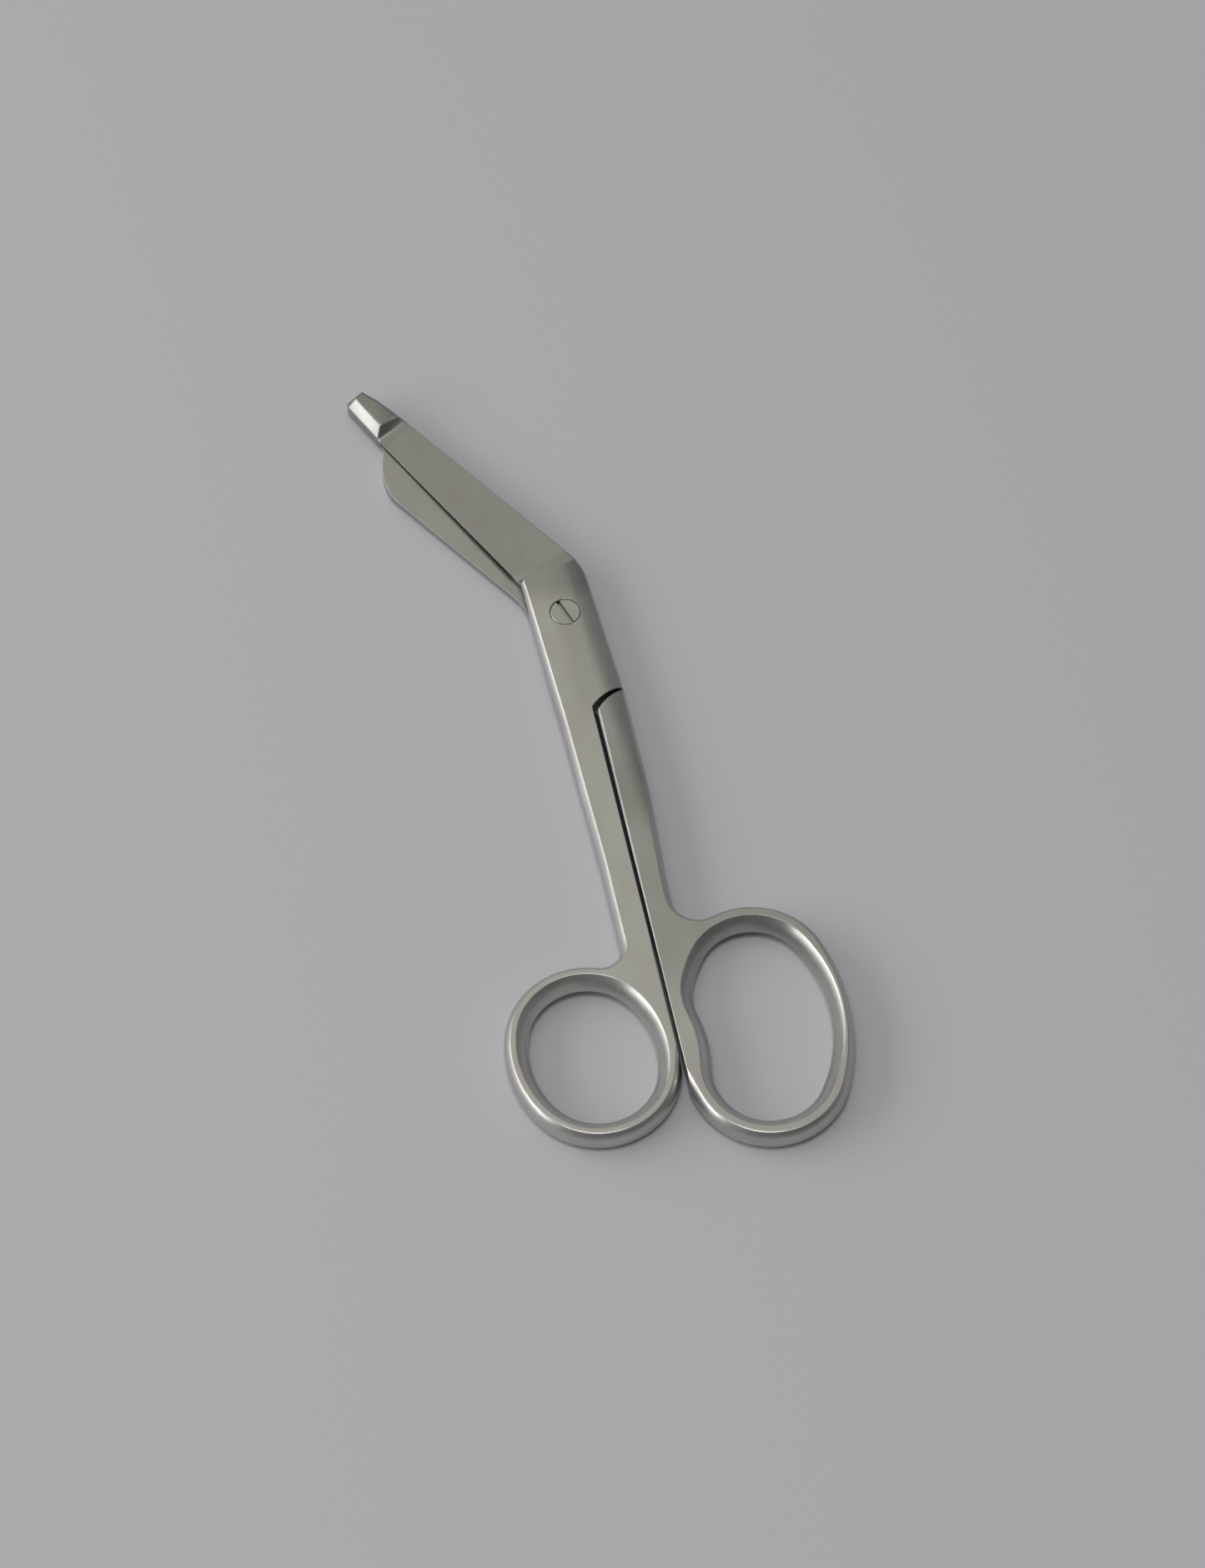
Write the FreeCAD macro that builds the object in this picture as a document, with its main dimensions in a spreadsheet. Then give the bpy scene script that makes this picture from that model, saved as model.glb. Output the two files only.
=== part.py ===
import FreeCAD, Part

# Bandage scissors lying flat, closed, in millimetres.
#
# Frame: +Z is up and z = 0 is the resting underside. The origin is on the pivot
# axis. The shanks and finger rings run along -Y and the blades lean away from
# +Y towards -X. The upper half carries the probe tip and the small ring, the
# lower half the plain blade and the large ring. The two halves cross at a lap
# joint at half the thickness, where a slotted screw holds them together.

import math
import os

import Sketcher

Vector = FreeCAD.Vector
Rotation = FreeCAD.Rotation
Placement = FreeCAD.Placement

# Driving dimensions, in millimetres and degrees

SIZES = [
    ("thickness", 4.0),                 # over the joint, the shanks and the rings
    ("lap_clearance", 0.04),            # between the two flat faces of the lap joint

    # Forged section: the sides bulge out between two flat lands
    ("side_bulge", 1.0),                # how far an outer side stands proud of its land
    ("hole_bulge", 1.65),               # the same inside each ring
    ("hole_edge_radius", 0.9),          # round ridge between the two slanting walls inside a ring
    ("flank_start", 1.2),               # from the pivot axis to where the right flank leans away
    ("flank_end", 4.0),                 # the same at the waist of the shank
    ("flank_radius", 9.0),              # how quickly the flank turns down
    ("flank_angle", 30.0),              # its steepest lean

    # Blades, measured in the blade's own axes from the pivot: along it and across it
    ("blade_angle", 33.8),              # blades against shanks
    ("back_offset", 8.5),               # pivot to the back of the upper blade
    ("front_offset", 2.5),              # pivot to the back of the lower blade, other side
    ("heel_along", 8.6),                # start of the upper cutting edge
    ("heel_across", -0.66),
    ("toe_along", 41.1),                # end of the upper cutting edge
    ("toe_across", 3.0),
    ("lower_toe_along", 42.0),          # end of the lower cutting edge
    ("lower_toe_across", 3.5),
    ("lower_tip_slope", 42.0),          # how far the blunt lower tip slopes back
    ("lower_tip_radius", 10.0),

    # Ground faces of the blades: how deep the wheel went at three corners
    ("grind_heel_back", 0.3),
    ("grind_heel_edge", 1.05),
    ("grind_toe_edge", 1.4),
    ("grind_skew", 11.4),               # the grinding runs slightly askew across the blade
    ("grind_heel_radius", 0.9),         # hollow at the heel end of the ground face
    ("grind_end_radius", 0.9),          # hollow at the probe end
    ("grind_end_slope", 0.8),           # run of that end for each millimetre it rises

    # Probe
    ("probe_along", 42.4),              # start of the probe
    ("probe_length", 9.0),
    ("probe_floor", 1.2),               # underside of the probe above z = 0
    ("probe_tip_radius", 1.1),          # both corners of the nose
    ("probe_tip_flat", 0.4),            # between them
    ("probe_tip_shift", -0.2),          # nose off the middle of the blade, towards its back
    ("probe_facet_width", 1.4),         # facet along the edge side
    ("probe_facet_depth", 1.4),
    ("probe_nose_width", 1.0),          # facet across the nose
    ("probe_nose_depth", 1.7),
    ("probe_corner_width", 1.4),        # facet over the corner between those two

    # Joint and shanks
    ("joint_right", 4.95),              # pivot to the right side of the joint
    ("corner_radius", 10.0),            # right side into the back of the blade
    ("left_corner_radius", 9.0),        # left side into the back of the lower blade
    ("shoulder_distance", 14.2),        # pivot to the outer end of the shoulders
    ("shoulder_drop", 2.9),             # how much lower they meet the shanks' gap
    ("shoulder_radius", 8.8),
    ("shoulder_clearance", 0.35),       # between the two shoulders at the outside
    ("shoulder_opening", 1.0),          # between them at the gap
    ("gap_offset", 0.72),               # middle of the gap between the shanks
    ("shank_gap", 0.52),
    ("gap_bevel_start", 0.55),          # bevel on the right shank's side of the gap, at the shoulder
    ("gap_bevel_end", 0.05),            # the same level with the middle of the rings
    ("left_shank_side", 3.9),           # axis to the outside of the left shank at its waist
    ("left_waist_rise", 30.0),          # the waist above the middle of the rings
    ("left_knee_side", 4.6),            # axis to the outside where the shank grows into the joint
    ("left_knee", 18.0),                # pivot down to that knee
    ("left_flat", 0.4),                 # depth ground off the bulging side at the heel, none at the knee
    ("right_shank_side", 5.78),         # axis to the outside of the right shank, upper part
    ("right_straight_rise", 40.85),     # lower end of that part, above the middle of the rings
    ("right_waist_side", 4.95),         # axis to the outside at the waist
    ("right_waist_rise", 25.0),
    ("shank_bend_radius", 60.0),        # gentle bends of the shanks' outsides
    ("shoulder_bend_radius", 40.0),     # the bend of the right side below the joint
    ("left_crotch_radius", 2.9),        # left shank into the small ring
    ("right_crotch_radius", 3.7),       # right shank into the large ring

    # Small round ring, on the upper half
    ("ring_distance", 72.85),           # pivot to the middle of both rings
    ("small_ring_flat", 0.54),          # how deep the gap cuts into the outside of the ring
    ("small_hole_width", 17.6),         # at half the thickness, where the hole is narrowest
    ("small_hole_length", 21.4),
    ("small_hole_ease", 0.5),           # radius of the hole's ends, less than half its width
    ("small_outside_ease", 0.5),        # the same round the outside
    ("small_tilt", 6.7),
    ("small_side_bar", 3.4),            # bar beside the hole
    ("small_end_bar", 3.4),             # bar past the ends of the hole

    # Large oval ring, on the lower half
    ("large_ring_flat", 0.88),
    ("large_hole_width", 19.86),
    ("large_hole_length", 30.48),
    ("large_hole_ease", 2.13),
    ("large_outside_ease", 1.45),
    ("large_tilt", -4.05),
    ("large_side_bar", 2.97),
    ("large_end_bar", 3.65),
    ("rest_height", 2.1),               # finger rest, proud of the inside of the bar
    ("rest_radius", 20.5),
    ("rest_above", 3.7),                # length of the hole's side left above the rest
    ("rest_below", 0.27),               # the same below it

    # Pivot screw
    ("head_diameter", 4.5),
    ("head_height", 1.1),
    ("stem_diameter", 2.8),
    ("running_clearance", 0.05),        # round the screw and under its head, in the upper half
    ("thread_clearance", 0.02),         # round the screw in the lower half
    ("slot_width", 0.62),
    ("slot_depth", 0.6),
    ("slot_angle", -70.5),              # slot against +X, seen from above
    ("head_chamfer", 0.12),
]

# Allowances of the cuts; they leave no mark on the steel
SPARE = 12.0            # how far the outline of a cut runs past the steel
OVERRUN = 0.8           # how far the arc of a shoulder starts outside the steel
SLIVER = 0.05           # flat left between the two roundings of the blank


document = FreeCAD.newDocument("bandage_scissors")
sheet = document.addObject("Spreadsheet::Sheet", "sizes")
for row, (name, value) in enumerate(SIZES, start=1):
    sheet.set("A%d" % row, name)
    sheet.set("B%d" % row, repr(value))
    sheet.setAlias("B%d" % row, name)
document.recompute()


def size(name):
    """The value of a driving dimension."""
    return float(sheet.get(name))


def bind(item, prop, expression):
    """Tie a property to the sheet; names in braces are driving dimensions."""
    for name, _ in SIZES:
        expression = expression.replace("{%s}" % name, "sizes." + name)
    item.setExpression(prop, expression)


# Values that follow from the driving dimensions

SIDE_RADIUS_RULE = ("({side_bulge} * {side_bulge} + {thickness} * {thickness} / 4)"
                    " / (2 * {side_bulge})")
TOP_RULE = "{thickness}"
BLANK_TOP_RULE = "{thickness} / 2 + %s + %g" % (SIDE_RADIUS_RULE, SLIVER)
BLANK_BOTTOM_RULE = "{thickness} / 2 - %s - %g" % (SIDE_RADIUS_RULE, SLIVER)
ABOVE_RULE = "{thickness} + %g" % SPARE
BELOW_RULE = "-%g" % SPARE
UPPER_LAP_RULE = "{thickness} / 2 + {lap_clearance} / 2"
LOWER_LAP_RULE = "{thickness} / 2 - {lap_clearance} / 2"
INSIDE_BLADE_RULE = "(3 * %s + {thickness}) / 4" % UPPER_LAP_RULE.join("()")

THICKNESS = size("thickness")
MIDDLE = THICKNESS / 2
BULGE = size("side_bulge")
SIDE_RADIUS = (BULGE ** 2 + MIDDLE ** 2) / (2 * BULGE)
BLANK_HALF = SIDE_RADIUS + SLIVER           # half thickness of the blank before its faces are ground
GAP_LEFT = size("gap_offset") - size("shank_gap") / 2
GAP_RIGHT = size("gap_offset") + size("shank_gap") / 2
BLADE_TURN = math.radians(size("blade_angle"))
ALONG = Vector(-math.sin(BLADE_TURN), math.cos(BLADE_TURN), 0)
ACROSS = Vector(math.cos(BLADE_TURN), math.sin(BLADE_TURN), 0)


def blade_point(along, across):
    """A point of the plan, given in the blade's axes."""
    return ALONG * along + ACROSS * across


def meet(first, first_way, second, second_way):
    """Where two lines of the plan cross."""
    cross = first_way.x * second_way.y - first_way.y * second_way.x
    apart = second - first
    share = (apart.x * second_way.y - apart.y * second_way.x) / cross
    return first + first_way * share


HEEL = blade_point(size("heel_along"), size("heel_across"))
TOE = blade_point(size("toe_along"), size("toe_across"))
LEFT_WAIST = Vector(-size("left_shank_side"), size("left_waist_rise") - size("ring_distance"), 0)
LEFT_KNEE = Vector(-size("left_knee_side"), -size("left_knee"), 0)
LEFT_SIDE = (HEEL - LEFT_KNEE).normalize()
RIGHT_WAIST = Vector(size("right_waist_side"), size("right_waist_rise") - size("ring_distance"), 0)
RIGHT_SHOULDER = Vector(size("right_shank_side"), -size("shoulder_distance"), 0)
RIGHT_SIDE = (Vector(size("joint_right"), 0, 0) - RIGHT_SHOULDER).normalize()
RIGHT_CORNER = meet(RIGHT_SHOULDER, RIGHT_SIDE, blade_point(0, size("back_offset")), ALONG)
LEFT_CORNER = meet(LEFT_KNEE, LEFT_SIDE, blade_point(0, -size("front_offset")), ALONG)


# Outlines

def rounded(corners, closed=True):
    """Straight and round stretches through corners given as (point, radius)."""
    pieces = []
    count = len(corners)
    ends = []
    for index, (point, radius) in enumerate(corners):
        inner = closed or 0 < index < count - 1
        if radius == 0 or not inner:
            ends.append((point, point))
            pieces.append(None)
            continue
        before = (corners[index - 1][0] - point).normalize()
        after = (corners[(index + 1) % count][0] - point).normalize()
        half = before.getAngle(after) / 2
        reach = radius / math.tan(half)
        centre = point + (before + after).normalize() * (radius / math.sin(half))
        start = point + before * reach
        end = point + after * reach
        middle = centre + (point - centre).normalize() * radius
        ends.append((start, end))
        pieces.append(Part.Arc(start, middle, end))
    outline = []
    for index in range(count):
        if pieces[index] is not None:
            outline.append(pieces[index])
        if closed or index < count - 1:
            following = (index + 1) % count
            outline.append(Part.LineSegment(ends[index][1], ends[following][0]))
    return outline


def arc_about(centre, radius, first, last):
    """The arc from one direction to another about a centre, the short way."""
    start = centre + (first - centre).normalize() * radius
    end = centre + (last - centre).normalize() * radius
    middle = centre + ((start - centre) + (end - centre)).normalize() * radius
    return Part.Arc(start, middle, end)


class Oval:
    """A ring's outline of four arcs, two round the ends and two along the sides."""

    def __init__(self, centre, half_width, half_length, ease, tilt):
        self.centre = centre
        self.end_radius = half_width - ease
        reach = half_length - self.end_radius
        self.side_radius = (reach ** 2 + half_width ** 2 - self.end_radius ** 2) / (2 * ease)
        turn = Rotation(Vector(0, 0, 1), tilt)
        sideways = turn.multVec(Vector(self.side_radius - half_width, 0, 0))
        lengthways = turn.multVec(Vector(0, reach, 0))
        self.top = centre + lengthways
        self.bottom = centre - lengthways
        self.left_side_centre = centre + sideways       # centre of the arc on the left side
        self.right_side_centre = centre - sideways
        self.top_left = self.joint(self.left_side_centre, self.top)
        self.top_right = self.joint(self.right_side_centre, self.top)
        self.bottom_left = self.joint(self.left_side_centre, self.bottom)
        self.bottom_right = self.joint(self.right_side_centre, self.bottom)

    def joint(self, side_centre, end_centre):
        """Where a side arc runs into an end arc."""
        return end_centre + (end_centre - side_centre).normalize() * self.end_radius

    def left_arc(self, start, end):
        return arc_about(self.left_side_centre, self.side_radius, start, end)

    def right_arc(self, start, end):
        return arc_about(self.right_side_centre, self.side_radius, start, end)

    def outline(self, left_side=None):
        """The four arcs; the left one can give way to other pieces from top to bottom."""
        return [
            arc_about(self.top, self.end_radius, self.top_right, self.top_left),
            *(left_side or [self.left_arc(self.top_left, self.bottom_left)]),
            arc_about(self.bottom, self.end_radius, self.bottom_left, self.bottom_right),
            self.right_arc(self.bottom_right, self.top_right),
        ]

    def left_side_with_rest(self, height, radius, above, below):
        """The left side with a round finger rest on it, blended in at both ends."""
        side_centre = self.left_side_centre
        half_side = (self.top_left - side_centre).getAngle(self.centre - side_centre)
        half_rest = half_side - (above + below) / 2 / self.side_radius
        lower_by = math.degrees((above - below) / 2 / self.side_radius)
        leftwards = Rotation(Vector(0, 0, 1), lower_by).multVec((self.centre - side_centre).normalize())
        apart = self.side_radius - height + radius
        rest_centre = side_centre + leftwards * apart
        across = apart * math.cos(half_rest)
        blend = ((apart ** 2 + self.side_radius ** 2 - radius ** 2 - 2 * across * self.side_radius)
                 / (2 * (self.side_radius + radius - across)))
        upwards = leftwards.cross(Vector(0, 0, 1))
        to_upper = leftwards * math.cos(half_rest) + upwards * math.sin(half_rest)
        to_lower = leftwards * math.cos(half_rest) - upwards * math.sin(half_rest)
        upper = side_centre + to_upper * (self.side_radius - blend)
        lower = side_centre + to_lower * (self.side_radius - blend)
        leave = side_centre + to_upper * self.side_radius
        rejoin = side_centre + to_lower * self.side_radius
        return [
            self.left_arc(self.top_left, leave),
            arc_about(upper, blend, leave, rest_centre),
            arc_about(rest_centre, radius, upper, lower),
            arc_about(lower, blend, rest_centre, rejoin),
            self.left_arc(rejoin, self.bottom_left),
        ]


def ring_ovals(name, gap_x, outward):
    """The hole and the outside of one finger ring, which the gap cuts flat on one side."""
    half_width = size(name + "_hole_width") / 2
    half_length = size(name + "_hole_length") / 2
    side_bar = size(name + "_side_bar")
    end_bar = size(name + "_end_bar")
    tilt = size(name + "_tilt")
    offset = half_width + side_bar - size(name + "_ring_flat")
    centre = Vector(gap_x + outward * offset, -size("ring_distance"), 0)
    hole = Oval(centre, half_width, half_length, size(name + "_hole_ease"), tilt)
    outside = Oval(centre, half_width + side_bar, half_length + end_bar, size(name + "_outside_ease"), tilt)
    return hole, outside


SMALL_HOLE, SMALL_OUTSIDE = ring_ovals("small", GAP_LEFT, -1)
LARGE_HOLE, LARGE_OUTSIDE = ring_ovals("large", GAP_RIGHT, 1)


def run_out(ring, start, joint, side_centre, gap_x):
    """The lower end of a ring and its side, up to where they run through the gap, and their way there."""
    def crossing(centre, radius):
        return Vector(gap_x, centre.y - math.sqrt(radius ** 2 - (gap_x - centre.x) ** 2), 0)

    touch = crossing(side_centre, ring.side_radius)
    arcs = [arc_about(ring.bottom, ring.end_radius, start, joint),
            arc_about(side_centre, ring.side_radius, joint, touch)]
    centre = side_centre
    if touch.y <= joint.y:
        centre = ring.bottom
        touch = crossing(centre, ring.end_radius)
        arcs = [arc_about(centre, ring.end_radius, start, touch)]
    way = Vector(0, 0, 1).cross(touch - centre).normalize()
    return arcs, touch, way if way.y > 0 else way * -1


def crotch_arc(side_point, side_way, outward, oval, radius):
    """The arc that blends a shank's outside into the top of a ring."""
    base = side_point + outward * radius
    total = oval.end_radius + radius
    towards = base - oval.top
    along = towards.dot(side_way)
    share = -along - math.sqrt(along ** 2 - towards.dot(towards) + total ** 2)
    centre = base + side_way * share
    start = centre - outward * radius
    end = centre + (oval.top - centre).normalize() * radius
    return start, end, arc_about(centre, radius, start, end)


# Features

def new_body(name):
    body = document.addObject("PartDesign::Body", name)
    body.Label = name
    return body


def plane_of(body, role):
    for feature in body.Origin.OriginFeatures:
        if feature.Role == role:
            return feature
    raise ValueError("no plane " + role)


def sketch_on(body, name, outline, place=Placement(), role="XY_Plane"):
    """A fixed sketch of a closed outline, set off from one of the body's own planes."""
    sketch = body.newObject("Sketcher::SketchObject", name)
    sketch.AttachmentSupport = [(plane_of(body, role), "")]
    sketch.MapMode = "FlatFace"
    sketch.AttachmentOffset = place
    sketch.addGeometry(outline, False)
    for index in range(sketch.GeometryCount):
        sketch.addConstraint(Sketcher.Constraint("Block", index))
    return sketch


def extrude(body, kind, name, outline, bottom, top):
    """Add or remove a plan outline between two heights, given as expressions."""
    sketch = sketch_on(body, name + "_sketch", outline)
    bind(sketch, "AttachmentOffset.Base.z", bottom)
    feature = body.newObject("PartDesign::" + kind, name)
    feature.Profile = sketch
    feature.Type = 0
    bind(feature, "Length", "(%s) - (%s)" % (top, bottom))
    if kind == "Pocket":
        feature.Reversed = True
    body.Tip = feature
    document.recompute()
    return feature


def pad(body, name, outline, bottom, top):
    return extrude(body, "Pad", name, outline, bottom, top)


def pocket(body, name, outline, bottom, top):
    return extrude(body, "Pocket", name, outline, bottom, top)


def edge_names(shape, wanted):
    return ["Edge%d" % number for number, edge in enumerate(shape.Edges, start=1) if wanted(edge)]


def level_of(edge):
    """The height of a level edge, or None."""
    low, high = edge.BoundBox.ZMin, edge.BoundBox.ZMax
    return (low + high) / 2 if high - low < 1e-4 else None


def at_level(edge, *levels):
    height = level_of(edge)
    return height is not None and any(abs(height - level) < 1e-4 for level in levels)


def round_sides(body, name, wanted):
    """Give the blank's sides their forged bulge, along the edges that are wanted."""
    base = body.Tip
    feature = body.newObject("PartDesign::Fillet", name)
    feature.Base = (base, edge_names(base.Shape, wanted))
    bind(feature, "Radius", SIDE_RADIUS_RULE)
    body.Tip = feature
    document.recompute()
    return feature


def along_line(point, way):
    """Picks the blank's level edges that lie on a line of the plan; tangent edges follow them."""
    def wanted(edge):
        ends = [vertex.Point for vertex in edge.Vertexes]
        on_line = all(((Vector(end.x, end.y, 0) - point).cross(way)).Length < 1e-3 for end in ends)
        return at_level(edge, BLANK_BOTTOM, BLANK_TOP) and on_line
    return wanted


def grind_faces(body):
    """Take the blank down to its two flat faces."""
    far = 200.0
    slab = rounded([(Vector(-far, -far, 0), 0), (Vector(far, -far, 0), 0),
                    (Vector(far, far, 0), 0), (Vector(-far, far, 0), 0)])
    pocket(body, body.Name + "_top_face", slab, TOP_RULE, ABOVE_RULE)
    pocket(body, body.Name + "_under_face", slab, BELOW_RULE, "0")


def ring_hole(body, name, oval, left_side=None):
    """Pierce a finger ring; its inside slants in from both faces to a round ridge between them."""
    outline = oval.outline(left_side)
    pocket(body, name, outline, BELOW_RULE, ABOVE_RULE)
    bulge = size("hole_bulge")
    inside = -bulge
    high = THICKNESS + bulge
    ridge = size("hole_edge_radius")
    crease = Vector(bulge, THICKNESS, 0)
    apart = Vector(ridge, MIDDLE, 0) - crease
    slant = math.degrees(math.asin(ridge / apart.Length))
    way = Rotation(Vector(0, 0, 1), -slant).multVec(apart).normalize()
    leave = crease + way * math.sqrt(apart.Length ** 2 - ridge ** 2)
    rejoin = Vector(leave.x, THICKNESS - leave.y, 0)
    section = [Part.LineSegment(Vector(bulge, 0, 0), rejoin),
               Part.Arc(rejoin, Vector(0, MIDDLE, 0), leave),
               Part.LineSegment(leave, crease),
               Part.LineSegment(crease, Vector(bulge, high, 0)),
               Part.LineSegment(Vector(bulge, high, 0), Vector(inside, high, 0)),
               Part.LineSegment(Vector(inside, high, 0), Vector(inside, -bulge, 0)),
               Part.LineSegment(Vector(inside, -bulge, 0), Vector(bulge, -bulge, 0)),
               Part.LineSegment(Vector(bulge, -bulge, 0), Vector(bulge, 0, 0))]
    outward = (oval.top_right - oval.top).normalize()
    upward = Vector(0, 0, 1)
    place = Placement(oval.top_right, Rotation(outward, upward, outward.cross(upward), "ZXY"))
    feature = body.newObject("PartDesign::SubtractivePipe", name + "_wall")
    feature.Profile = sketch_on(body, name + "_section", section, place)
    feature.Spine = sketch_on(body, name + "_path", outline)
    body.Tip = feature
    document.recompute()
    return feature


def cut_along(body, name, outline, place, length, both_ways=False):
    """Cut an outline drawn on a plane set anywhere, away from its normal or both ways."""
    feature = body.newObject("PartDesign::Pocket", name)
    feature.Profile = sketch_on(body, name + "_sketch", outline, place)
    feature.Type = 0
    feature.Midplane = both_ways
    feature.Length = length
    body.Tip = feature
    document.recompute()
    return feature


def polygon(*points):
    return rounded([(point, 0) for point in points])


DOWN = Vector(0, -1, 0)
BLANK_TOP = MIDDLE + BLANK_HALF
BLANK_BOTTOM = MIDDLE - BLANK_HALF
FAR_END = 1.2 * (size("ring_distance") + size("large_hole_length"))
BLADE_END = size("probe_along") + size("probe_length") + SPARE


# Shoulders: where one half's flat plate ends and the other half's full thickness begins

def shoulder(outer_x, gap_x, behind_outer=0.0, behind_gap=0.0):
    """An arc from the outside of the joint to the gap, bulging towards the pivot."""
    outer = Vector(outer_x, -size("shoulder_distance") - behind_outer, 0)
    inner = Vector(gap_x, -size("shoulder_distance") - size("shoulder_drop") - behind_gap, 0)
    chord = inner - outer
    radius = size("shoulder_radius")
    down = Vector(-chord.y, chord.x, 0).normalize()
    if down.y > 0:
        down = down * -1
    centre = (outer + inner) * 0.5 + down * math.sqrt(radius ** 2 - (chord.Length / 2) ** 2)
    return outer, inner, arc_about(centre, radius, inner, outer)


LEFT_OUTER = -size("left_knee_side") - OVERRUN
RIGHT_OUTER = size("right_shank_side") + OVERRUN


def beside_gap(outer_x, gap_x):
    """Everything past one shank's side of the gap, up to the end of the joint plate."""
    outer, inner, arc = shoulder(outer_x, gap_x)
    away = Vector(math.copysign(4 * SPARE, outer_x), 0, 0)
    return [arc,
            Part.LineSegment(outer, outer + away),
            Part.LineSegment(outer + away, Vector(outer.x + away.x, -FAR_END, 0)),
            Part.LineSegment(Vector(outer.x + away.x, -FAR_END, 0), Vector(inner.x, -FAR_END, 0)),
            Part.LineSegment(Vector(inner.x, -FAR_END, 0), inner)]


def above_shoulder(outer_x, gap_x):
    """The joint and the blades, down to a full shoulder."""
    outer, inner, arc = shoulder(outer_x, gap_x, size("shoulder_clearance"), size("shoulder_opening"))
    side = math.copysign(2 * BLADE_END, outer_x)
    return [arc,
            Part.LineSegment(outer, Vector(side, outer.y, 0)),
            Part.LineSegment(Vector(side, outer.y, 0), Vector(side, 2 * BLADE_END, 0)),
            Part.LineSegment(Vector(side, 2 * BLADE_END, 0), Vector(-side, 2 * BLADE_END, 0)),
            Part.LineSegment(Vector(-side, 2 * BLADE_END, 0), Vector(-side, inner.y, 0)),
            Part.LineSegment(Vector(-side, inner.y, 0), inner)]


# Grinding of the blade faces

GRIND_WAY = Rotation(Vector(0, 0, 1), -size("grind_skew")).multVec(ACROSS)


def grind(body, name, start, face, to_probe):
    """Hollow a blade's outer face: deeper at the cutting edge, and deeper at the toe.

    The outline is the side view of the cut. It starts at the heel and runs up
    the hollow in front of the probe or out past the toe. It is swept across
    the blade, leaning so that the back stays thick.
    """
    outward = 1 if face > MIDDLE else -1
    width = size("back_offset") - size("heel_across")
    lean = (size("grind_heel_edge") - size("grind_heel_back")) / width
    normal = (GRIND_WAY + Vector(0, 0, lean)).normalize()
    lengthways = Vector(0, 0, 1).cross(normal).normalize()
    place = Placement(start, Rotation(lengthways, normal.cross(lengthways), normal, "ZXY"))
    heel = face - outward * size("grind_heel_edge")
    toe = face - outward * size("grind_toe_edge")
    clear = face + outward * SPARE / 2
    run = (size("probe_along") - size("heel_along")) / math.cos(math.radians(size("grind_skew")))
    corners = [(Vector(0, clear, 0), 0), (Vector(0, heel, 0), size("grind_heel_radius"))]
    if to_probe:
        end = run + size("grind_toe_edge") * size("grind_end_slope")
        corners += [(Vector(run, toe, 0), size("grind_end_radius")), (Vector(end, face, 0), 0)]
    else:
        end = run + 2 * SPARE
        corners += [(Vector(end, toe, 0), 0)]
    across = 6 * size("back_offset")
    return cut_along(body, name, rounded(corners + [(Vector(end, clear, 0), 0)]), place, across,
                     both_ways=True)


def flank(body, name, face):
    """Lean the right side of the joint and shank away from a flat face.

    The cut is round, meets the flat face without a crease and runs out
    towards the waist of the shank.
    """
    outward = 1 if face > MIDDLE else -1
    upper = Vector(size("flank_start"), 0, 0)
    lower = Vector(size("flank_end"), RIGHT_WAIST.y, 0)
    way = (upper - lower).normalize()
    place = Placement(lower, Rotation(way.cross(Vector(0, 0, 1)), Vector(0, 0, 1), way * -1, "ZXY"))
    radius = size("flank_radius")
    centre = Vector(0, face - outward * radius, 0)
    tangent = Vector(0, face, 0)
    lean = math.radians(size("flank_angle"))
    leave = centre + Vector(math.sin(lean), outward * math.cos(lean), 0) * radius
    far = leave + Vector(math.cos(lean), -outward * math.sin(lean), 0) * SPARE
    corner = Vector(far.x, face + outward, 0)
    back = Vector(0, face + outward, 0)
    outline = [arc_about(centre, radius, tangent, leave),
               Part.LineSegment(leave, far),
               Part.LineSegment(far, corner),
               Part.LineSegment(corner, back),
               Part.LineSegment(back, tangent)]
    return cut_along(body, name, outline, place, size("heel_along") + SPARE - lower.y)


def facet(body, name, start, end, width, depth):
    """Cut a flat facet that leans down from a line of the top face, to the right of its way."""
    way = (end - start).normalize()
    rightwards = way.cross(Vector(0, 0, 1))
    place = Placement(start, Rotation(rightwards, Vector(0, 0, 1), way * -1, "ZXY"))
    reach = SPARE / 3
    outline = polygon(Vector(0, THICKNESS, 0),
                      Vector(reach * width / depth, THICKNESS - reach, 0),
                      Vector(reach * width / depth, THICKNESS + reach, 0),
                      Vector(-reach * width / depth, THICKNESS + reach, 0))
    return cut_along(body, name, outline, place, (end - start).Length)


def round_hole(body, name, diameter, clearance, bottom):
    """A round hole on the pivot axis, from a height up through the top."""
    sketch = body.newObject("Sketcher::SketchObject", name + "_sketch")
    sketch.AttachmentSupport = [(plane_of(body, "XY_Plane"), "")]
    sketch.MapMode = "FlatFace"
    bind(sketch, "AttachmentOffset.Base.z", bottom)
    radius = size(diameter) / 2 + size(clearance)
    sketch.addGeometry(Part.Circle(Vector(), Vector(0, 0, 1), radius), False)
    sketch.addConstraint(Sketcher.Constraint("Coincident", 0, 3, -1, 1))
    sketch.addConstraint(Sketcher.Constraint("Radius", 0, radius))
    bind(sketch, "Constraints[1]", "{%s} / 2 + {%s}" % (diameter, clearance))
    feature = body.newObject("PartDesign::Pocket", name)
    feature.Profile = sketch
    feature.Type = 0
    bind(feature, "Length", "(%s) - (%s)" % (ABOVE_RULE, bottom))
    feature.Reversed = True
    body.Tip = feature
    document.recompute()
    return feature


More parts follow.
